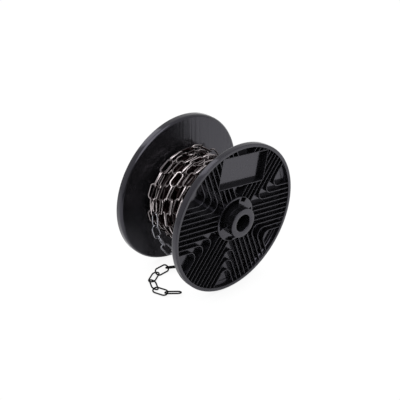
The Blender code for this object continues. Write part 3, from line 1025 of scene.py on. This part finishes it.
def turn_place(travel, turns):
    """Place across the drum, in turns, after so many turns round it."""
    whole = math.floor(travel)
    step = smooth_step((travel - whole - STEP_OVER_START) / STEP_OVER_LENGTH)
    return min(whole + step, turns - 1)


def sag(angle, x):
    """How far a loose turn hangs off the under side. The turns at the back flange are tight."""
    off = math.remainder(angle - SAG_ANGLE, 2 * math.pi)
    looseness = smooth_step((x - SAG_STARTS) / SAG_GROWTH)
    return SAG * smooth_step(1 - abs(off) / SAG_SPREAD) * looseness


def wound_link(travel, radius, x, slope, roll, chance):
    """Middle, long axis and face normal of one link of the winding.

    The slope is how far the turn steps sideways for its length round the drum.
    """
    angle = START_ANGLE - 2 * math.pi * travel
    outward = Vector((0, math.cos(angle), math.sin(angle)))
    onward = Vector((0, math.sin(angle), -math.cos(angle)))
    yaw = chance.uniform(-YAW_SPREAD, YAW_SPREAD)
    along = (onward + Vector((slope + math.tan(yaw), 0, 0))).normalized()
    roll += chance.uniform(-ROLL_SPREAD, ROLL_SPREAD)
    sideways = along.cross(outward).normalized()
    face = outward * math.cos(roll) + sideways * math.sin(roll)
    return outward * radius + Vector((x, 0, AXIS_HEIGHT)), along, face


def layer_rows(radius, turns, per_turn, first_link, direction, chance):
    """The links of a layer, wound towards the front (1) or the back (-1)."""
    rows = []
    first = -TURN_PITCH * (turns - 1) / 2 * direction
    for i in range(math.floor(turns * per_turn - first_link) + 1):
        travel = (i + first_link) / per_turn
        angle = START_ANGLE - 2 * math.pi * travel
        wave = math.sin(2 * angle + WAVE_PHASE + travel) + math.sin(3 * angle + turns)
        x = first + direction * TURN_PITCH * turn_place(travel, turns)
        step = turn_place(travel + SLOPE_REACH, turns) - turn_place(travel - SLOPE_REACH, turns)
        slope = direction * TURN_PITCH * step / (4 * math.pi * radius * SLOPE_REACH)
        x += WAVE_HEIGHT * wave + chance.uniform(-SHIFT_SPREAD, SHIFT_SPREAD)
        lift = chance.uniform(-LIFT_SPREAD, LIFT_SPREAD)
        if chance.random() < PROUD_SHARE:
            lift += chance.uniform(PROUD_LEAST, 1.0) * PROUD_LIFT
        if radius == LAYERS[0][0]:
            lift += sag(angle, x)
        roll = LEAN if i % 2 == 0 else -LEAN
        roll += TWIST * math.sin(TWIST_RATE * travel + turns)
        rows.append(wound_link(travel, radius + lift, x, slope, roll, chance))
    return rows


# %% [markdown]
# At the back flange the outer layer climbs on to itself. Its last turn rides on top, in the valley
# between two turns, with its links on edge and flat by turns. It settles in beside the flange on
# the far side, and its other end is where the free end hangs from.

# %% Lay out the last turn
CLIMB_LINKS = 21
CLIMB_RADIUS = 0.0592
CLIMB_PLACE = -0.0362
CLIMB_ENDS = -0.55
CLIMB_END_LENGTH = 0.45
FREE_END_PLACE = -0.0288
LEAVING_LINKS = 4
ON_EDGE = math.radians(-86.0)
LYING_FLAT = math.radians(6.0)


def climb_rows(chance):
    """The last turn, from the free end to where it joins the first link of the outer layer."""
    rows = []
    radius, turns, per_turn, first_link = LAYERS[0]
    join = first_link / per_turn
    layer_place = -TURN_PITCH * (turns - 1) / 2
    for i in range(CLIMB_LINKS):
        travel = join - (1 + join) * (1 - i / CLIMB_LINKS)
        settled = smooth_step((travel - CLIMB_ENDS) / CLIMB_END_LENGTH)
        leaving = 1 - smooth_step(i / LEAVING_LINKS)
        x = CLIMB_PLACE + (layer_place - CLIMB_PLACE) * settled
        x += (FREE_END_PLACE - CLIMB_PLACE) * leaving
        lift = (CLIMB_RADIUS - radius) * (1 - settled)
        proud = (ON_EDGE, LYING_FLAT)[i % 2]
        lean = (-LEAN, LEAN)[i % 2]
        roll = proud + (lean - proud) * settled
        rows.append(wound_link(travel, radius + lift, x, 0.0, roll, chance))
    return rows


# %% [markdown]
# ## The free end
#
# The last twelve links hang from the winding to the floor and lie there in a hook. Two hooked links
# meet on the line where their planes cross, so each link's place follows from the one before it
# and the turn of both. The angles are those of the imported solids, which stand in the same places,
# but the seventh and the twelfth link are rolled a few degrees further open than their solids.

# %% Lay out the free end
TAIL_ANGLES = [
    # heading, rise, roll, in degrees
    (90.0, -90.0, 0.0),
    (88.0, -74.0, 90.0),
    (80.0, -65.0, 0.0),
    (66.0, -55.0, 90.0),
    (50.0, -34.0, 0.0),
    (215.0, -72.0, 52.0),
    (227.0, -7.0, -24.0),
    (270.0, 0.0, 40.0),
    (297.0, -3.0, -12.0),
    (331.0, 0.0, 28.0),
    (17.7, 1.0, -12.0),
    (45.8, 1.5, 20.5),
]
HANGING_LINKS = 5
TAIL_NODES = [f"tail_link_{i + 1:02d}" for i in range(len(TAIL_ANGLES))]


def link_axes(*degrees):
    azimuth, elevation, roll = (math.radians(angle) for angle in degrees)
    level = Vector((math.cos(azimuth), math.sin(azimuth), 0))
    side = Vector((-math.sin(azimuth), math.cos(azimuth), 0))
    along = level * math.cos(elevation) + Vector((0, 0, math.sin(elevation)))
    face = along.cross(side) * math.cos(roll) + side * math.sin(roll)
    return along, face


def tail_row(node, angles):
    """A loose link's middle, which is that of its solid's box, and its two directions."""
    low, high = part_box(node)
    along, face = link_axes(*angles)
    return (Vector(low) + Vector(high)) / 2, along, face


TAIL_ROWS = [tail_row(node, angles) for node, angles in zip(TAIL_NODES, TAIL_ANGLES)]
for index, (node, row) in enumerate(zip(TAIL_NODES, TAIL_ROWS)):
    name = node.replace("tail", "loose")
    # Hanging links get the lighter steel, as painted light. Links on the floor get the near-black
    # one, as painted shade.
    steel = HANGING_STEEL_LIT if index < HANGING_LINKS else FLOOR_STEEL_SHADED
    mesh = links_mesh(name, [row], LOOSE_LINK_DETAIL, steel)
    place_piece(add_object(name, mesh), "chain_steel", node)

# %% [markdown]
# ## Settling the winding
#
# Laid out by rule, some links would cut into each other, and some would lie further apart than a
# taut chain allows. So the layout is only the start. In each round, following links that are too
# far apart are drawn together, and every two links whose wires are nearer than a wire's thickness
# are pushed a little apart. No link may leave the room between the flanges. After some rounds most
# links just touch, and they lie as unevenly as real ones. The free end stays where it is.

# %% Draw the links together and push them apart
WIRE_ARC_POINTS = 44
WIRE_SIDE_POINTS = 9
SETTLE_ROUNDS = 36
SETTLE_STEP = 0.3


def wire_points(row):
    """Points along the middle line of a link's wire."""
    middle, along, face = row
    across = face.cross(along)
    points = []
    for i in range(WIRE_ARC_POINTS):
        turn = polar(LINK_END_RADIUS, 2 * math.pi * (i + 0.5) / WIRE_ARC_POINTS)
        ahead = turn.x + math.copysign(LINK_ARC_OFFSET, turn.x)
        points.append(middle + along * ahead + across * turn.y)
    for i in range(WIRE_SIDE_POINTS):
        ahead = LINK_ARC_OFFSET * (2 * (i + 0.5) / WIRE_SIDE_POINTS - 1)
        for side in (-LINK_END_RADIUS, LINK_END_RADIUS):
            points.append(middle + along * ahead + across * side)
    return points


def overlaps(rows):
    """For each two links that cut into each other, how deep and which way."""
    points = [(point, i) for i, row in enumerate(rows) for point in wire_points(row)]
    tree = KDTree(len(points))
    for number, (point, _) in enumerate(points):
        tree.insert(point, number)
    tree.balance()
    worst = {}
    for point, i in points:
        for other, number, distance in tree.find_range(point, 2 * WIRE_RADIUS):
            j = points[number][1]
            depth = 2 * WIRE_RADIUS - distance
            if i < j and depth > worst.get((i, j), (0.0, None))[0]:
                worst[i, j] = (depth, (point - other).normalized())
    return worst


def keep_between_flanges(row):
    """Move a link in along the axis as far as its width and its turn ask."""
    reach = LINK_END_RADIUS * math.sqrt(max(0.0, 1 - row[2].x ** 2)) + WIRE_RADIUS
    room = DRUM_END - reach
    row[0].x = min(room, max(-room, row[0].x))


def draw_together(run):
    """Move the two sides of every gap that is too long, half of the excess each."""
    for link, following in zip(run, run[1:]):
        apart = following[0] - link[0]
        excess = max(0.0, apart.length - TAUT_PITCH)
        link[0].xyz += apart.normalized() * excess / 2
        following[0].xyz -= apart.normalized() * excess / 2


def settle(runs, still):
    """Move the middles of the links until their wires hardly cut into each other.

    A run is a list of links that follow each other. The still links push but don't move.
    """
    rows = [row for run in runs for row in run]
    everything = rows + still
    for _ in range(SETTLE_ROUNDS):
        for run in runs:
            draw_together(run)
        pushes = [Vector() for _ in everything]
        for (i, j), (depth, way) in overlaps(everything).items():
            pushes[i] += way * depth * SETTLE_STEP
            pushes[j] -= way * depth * SETTLE_STEP
        for row, push in zip(rows, pushes):
            row[0].xyz += push
            keep_between_flanges(row)
    print("pairs of links that still touch:", len(overlaps(everything)))


# %% The two pieces of the winding
# The last turn and the outer layer are one run and one piece. The inner layers are the other.
RUNS = [climb_rows(random.Random(WINDING_SEED))]
for index, sizes in enumerate(LAYERS):
    direction = 1 if index % 2 == 0 else -1
    RUNS.append(layer_rows(*sizes, direction, random.Random(WINDING_SEED + index)))
RUNS[:2] = [RUNS[0] + RUNS[1]]
settle(RUNS, TAIL_ROWS)
OUTER_ROWS = RUNS[0]
INNER_ROWS = [row for run in RUNS[1:] for row in run]
for name, rows, node in (
    ("outer_turns", OUTER_ROWS, "chain_outer_layer"),
    ("inner_turns", INNER_ROWS, "chain_core"),
):
    print(f"{name}: {len(rows)} links")
    # The winding's steel carries painted shade on its inner layers and flanks, and a painted
    # highlight on its outer crests.
    mesh = links_mesh(name, rows, WOUND_LINK_DETAIL, WORN_AND_SHADED_STEEL)
    place_piece(add_object(name, mesh), "chain_steel", node)

# %% [markdown]
# ## Floor and light
#
# Black plastic shows hardly any colour of its own, only what it reflects, so the light is mostly a
# matter of what stands round the reel. The room is bright and even, with one dark side. The floor
# is a white sweep that ends in a dark patch on that side, and that is what leaves the ribs black
# between their bright tops. One large soft lamp overhead and a small one behind draw the highlights
# along the rims. Seen directly, the floor is an even white with a painted contact shadow, which
# darkens it only where something touches it.

# %% Floor
FLOOR_SIZE = 6.0
DARK_PATCH_PLACE = Vector((1.88, -0.68, 0.0))
DARK_PATCH_RADIUS = 1.67
DARK_PATCH_SOFT = 0.08
SWEEP_WHITE = 0.93
SWEEP_DARK = 0.06
SEEN_WHITE = 1.02
SEEN_SHADE = 0.84
CONTACT_SHADOW_REACH = 0.05


def make_floor_material():
    """A matt floor that lights the reel, but that the camera sees as an even white, with a painted
    contact shadow where something is near.
    """
    material = bpy.data.materials.new("white_sweep_with_painted_shadow")
    material.use_nodes = True
    tree = material.node_tree
    shader = tree.nodes["Principled BSDF"]
    place = tree.nodes.new("ShaderNodeTexCoord")
    far = vector_math(tree, "DISTANCE", place.outputs["Object"], DARK_PATCH_PLACE)
    edges = (DARK_PATCH_RADIUS - DARK_PATCH_SOFT, DARK_PATCH_RADIUS + DARK_PATCH_SOFT)
    white = smooth_range(tree, far, *edges, SWEEP_DARK, SWEEP_WHITE)
    tree.links.new(white, shader.inputs["Base Color"])
    shader.inputs["Roughness"].default_value = 0.8
    shader.inputs["Specular IOR Level"].default_value = 0.1
    # Painted contact shadow: ambient occlusion dims the white that the camera sees wherever
    # something is near the floor.
    contact_occlusion = tree.nodes.new("ShaderNodeAmbientOcclusion")
    contact_occlusion.inputs["Distance"].default_value = CONTACT_SHADOW_REACH
    seen = tree.nodes.new("ShaderNodeEmission")
    painted_contact_shadow = smooth_range(tree, contact_occlusion.outputs["AO"], 0.0, 1.0, SEEN_SHADE, SEEN_WHITE)
    tree.links.new(painted_contact_shadow, seen.inputs["Strength"])
    path = tree.nodes.new("ShaderNodeLightPath")
    mixed = tree.nodes.new("ShaderNodeMixShader")
    tree.links.new(path.outputs["Is Camera Ray"], mixed.inputs["Fac"])
    tree.links.new(shader.outputs["BSDF"], mixed.inputs[1])
    tree.links.new(seen.outputs["Emission"], mixed.inputs[2])
    tree.links.new(mixed.outputs["Shader"], tree.nodes["Material Output"].inputs["Surface"])
    return material


half = FLOOR_SIZE / 2
corners = [(-half, -half, 0), (half, -half, 0), (half, half, 0), (-half, half, 0)]
floor_mesh = bpy.data.meshes.new("floor")
floor_mesh.from_pydata(corners, [], [(0, 1, 2, 3)])
floor_mesh.materials.append(make_floor_material())
floor = add_object("floor", floor_mesh)
print(f"floor: {FLOOR_SIZE} m square")

# %% Light
DARK_SIDE = Vector((0.931, -0.339, 0.139))
DARK_INSIDE = math.cos(math.radians(32.0))
DARK_OUTSIDE = math.cos(math.radians(47.0))
ROOM_BRIGHT = 0.90
ROOM_DARK = 0.10
LIGHT_AIM = Vector((0.0, 0.0, 0.1))


def make_room():
    """Even white light with a dark side. Seen directly, the room is plain white."""
    world = bpy.data.worlds.new("studio")
    world.use_nodes = True
    tree = world.node_tree
    background = tree.nodes["Background"]
    place = tree.nodes.new("ShaderNodeTexCoord")
    towards = vector_math(tree, "DOT_PRODUCT", place.outputs["Generated"], DARK_SIDE)
    light = smooth_range(tree, towards, DARK_OUTSIDE, DARK_INSIDE, ROOM_BRIGHT, ROOM_DARK)
    path = tree.nodes.new("ShaderNodeLightPath")
    strength = math_node(tree, "MAXIMUM", light, path.outputs["Is Camera Ray"])
    tree.links.new(strength, background.inputs["Strength"])
    background.inputs["Color"].default_value = (1.0, 1.0, 1.0, 1.0)
    bpy.context.scene.world = world


def area_light(name, place, size, watts):
    data = bpy.data.lights.new(name, "AREA")
    data.shape = "SQUARE"
    data.size = size
    data.energy = watts
    light = bpy.data.objects.new(name, data)
    light.location = place
    light.rotation_mode = "QUATERNION"
    light.rotation_quaternion = (LIGHT_AIM - Vector(place)).to_track_quat("-Z", "Y")
    bpy.context.scene.collection.objects.link(light)


make_room()
area_light("overhead_softbox", place=(0.466, -0.326, 1.379), size=1.40, watts=17.5)
area_light("back_softbox", place=(-0.83, -0.07, 1.10), size=0.60, watts=2.3)
bpy.context.scene.view_settings.view_transform = "Standard"
print("lamps:", [light.name for light in bpy.data.lights])
